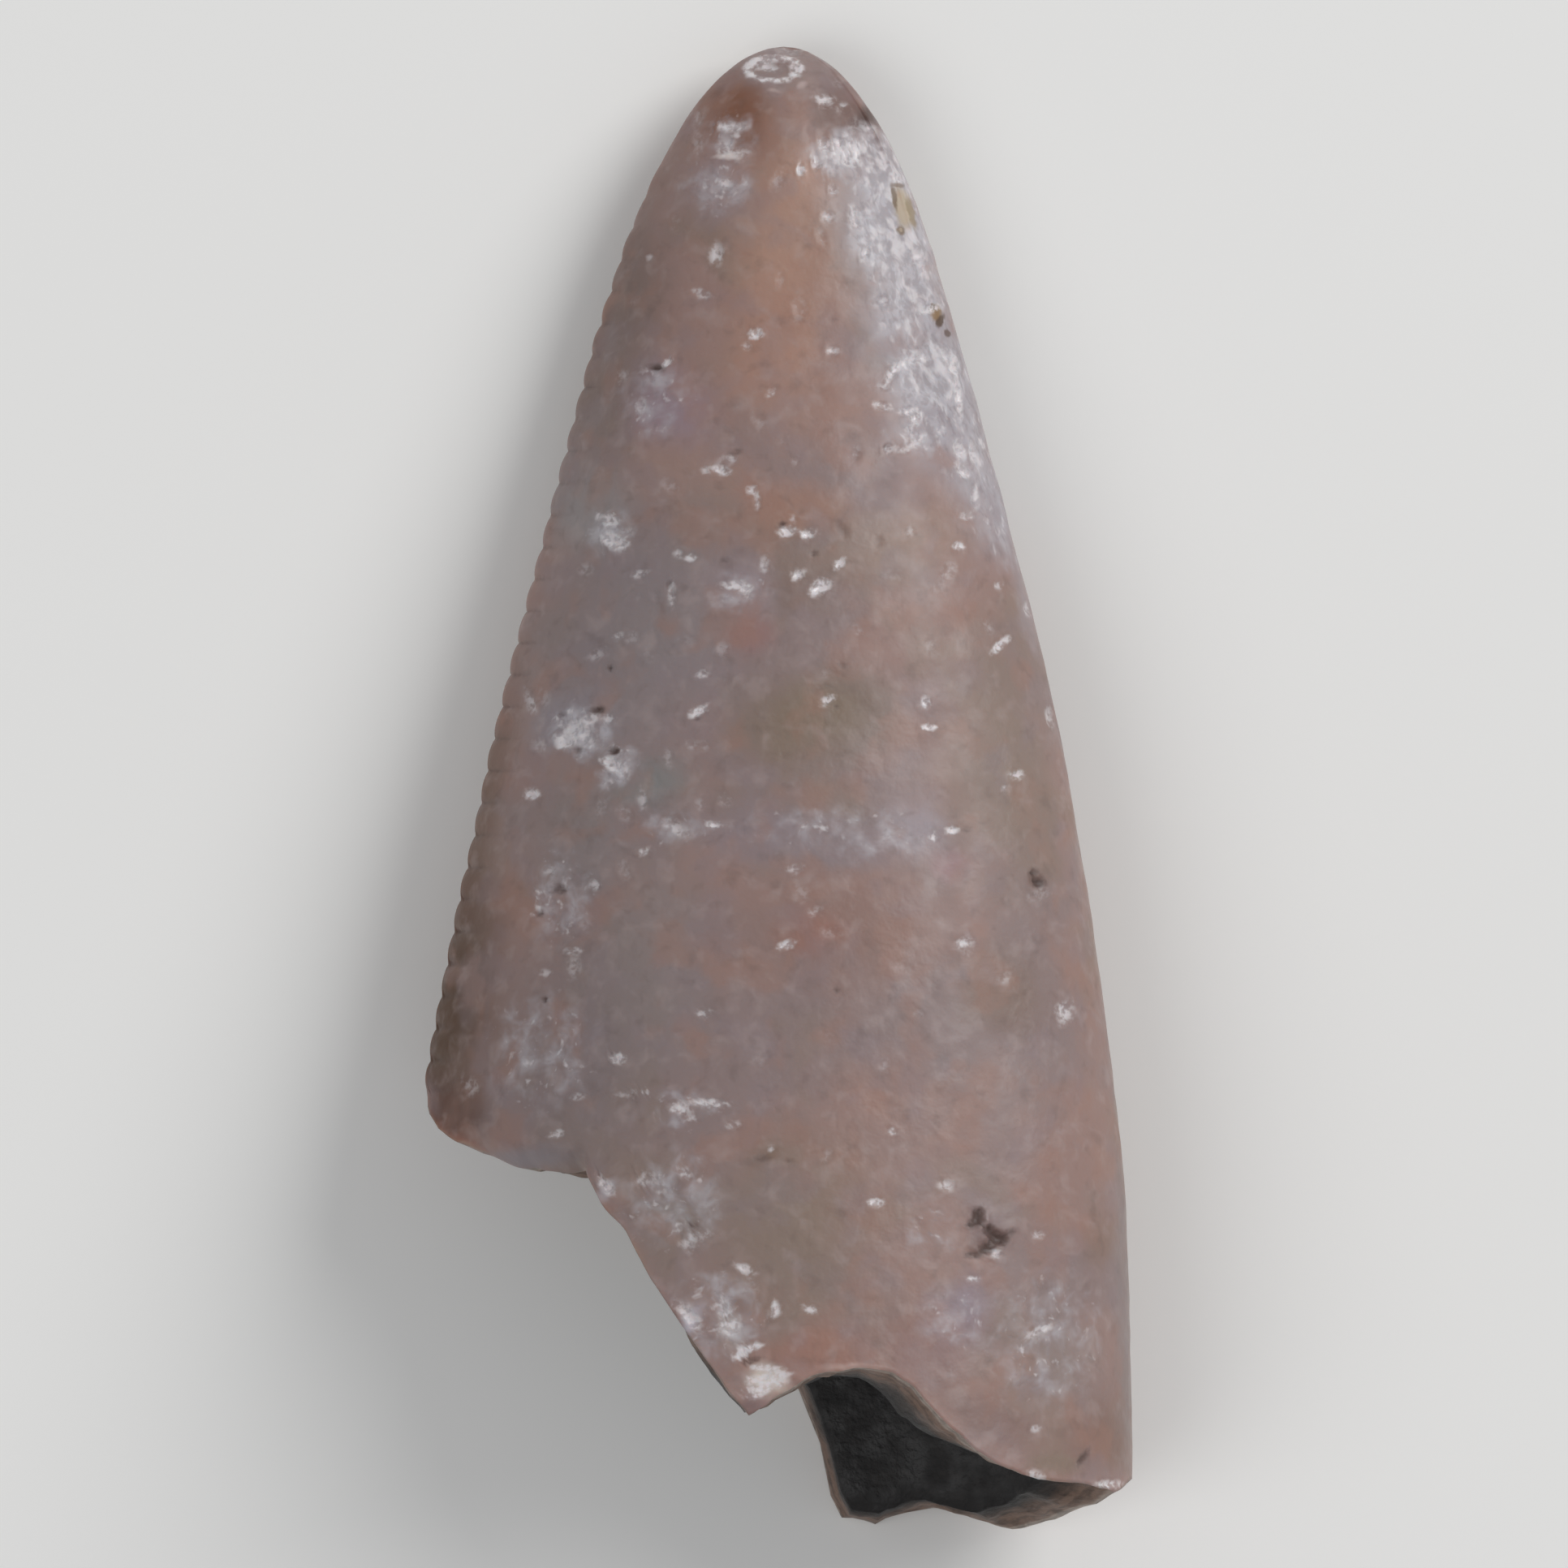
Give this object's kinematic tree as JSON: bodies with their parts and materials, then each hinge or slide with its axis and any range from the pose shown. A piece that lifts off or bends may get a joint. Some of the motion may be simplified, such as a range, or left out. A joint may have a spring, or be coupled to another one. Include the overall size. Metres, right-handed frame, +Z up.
{
  "type": "fossil reptile tooth",
  "caption": "Shed fossil tooth crown lying on its side: a flattened, slightly curved blade with a blunt worn tip, one finely serrated edge and a hollow, broken base.",
  "frame": {"origin": "middle of the tooth's bounding box, on the surface that the tooth lies on", "axes": "+Y along the crown towards its tip, +X across the blade towards its smooth edge, +Z up, out of the outer face that shows"},
  "size_m": [0.0088, 0.0184, 0.0048],
  "materials": {
    "enamel": "waxy, slightly translucent fossil enamel, greyish pink-brown with frosted patches"
  },
  "bodies": {
    "root": {"tooth_crown": "enamel"}
  },
  "joints": []
}
